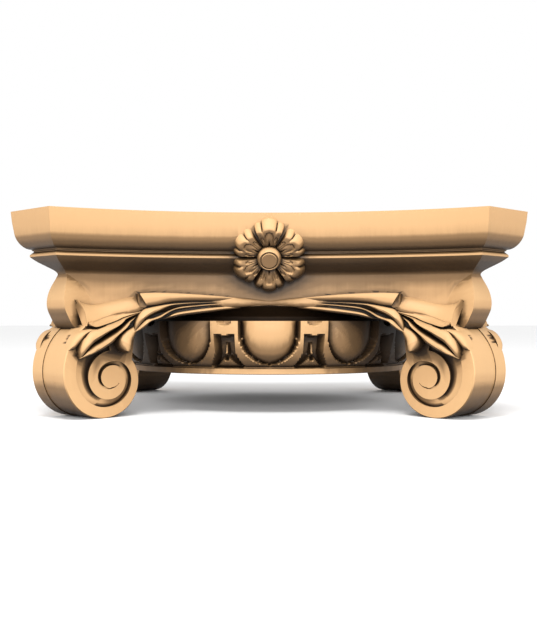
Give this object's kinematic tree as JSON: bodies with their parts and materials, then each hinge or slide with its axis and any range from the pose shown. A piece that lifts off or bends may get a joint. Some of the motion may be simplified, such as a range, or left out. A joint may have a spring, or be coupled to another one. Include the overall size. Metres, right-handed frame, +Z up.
{
  "type": "ionic column capital",
  "caption": "Angular Ionic column capital with corner volutes, acanthus leaves, an egg-and-dart ring and a rosette on each hollowed side of the abacus.",
  "frame": {"origin": "centre of the round bed that sits on the column shaft", "axes": "+Z up along the column's axis, X and Y square to the abacus sides"},
  "size_m": [0.4, 0.4, 0.1601],
  "materials": {
    "carved_wood": "fine close-grained wood carved smooth and waxed to a satin sheen, darker in the hollows"
  },
  "bodies": {
    "root": {"capital": "carved_wood"}
  },
  "joints": []
}
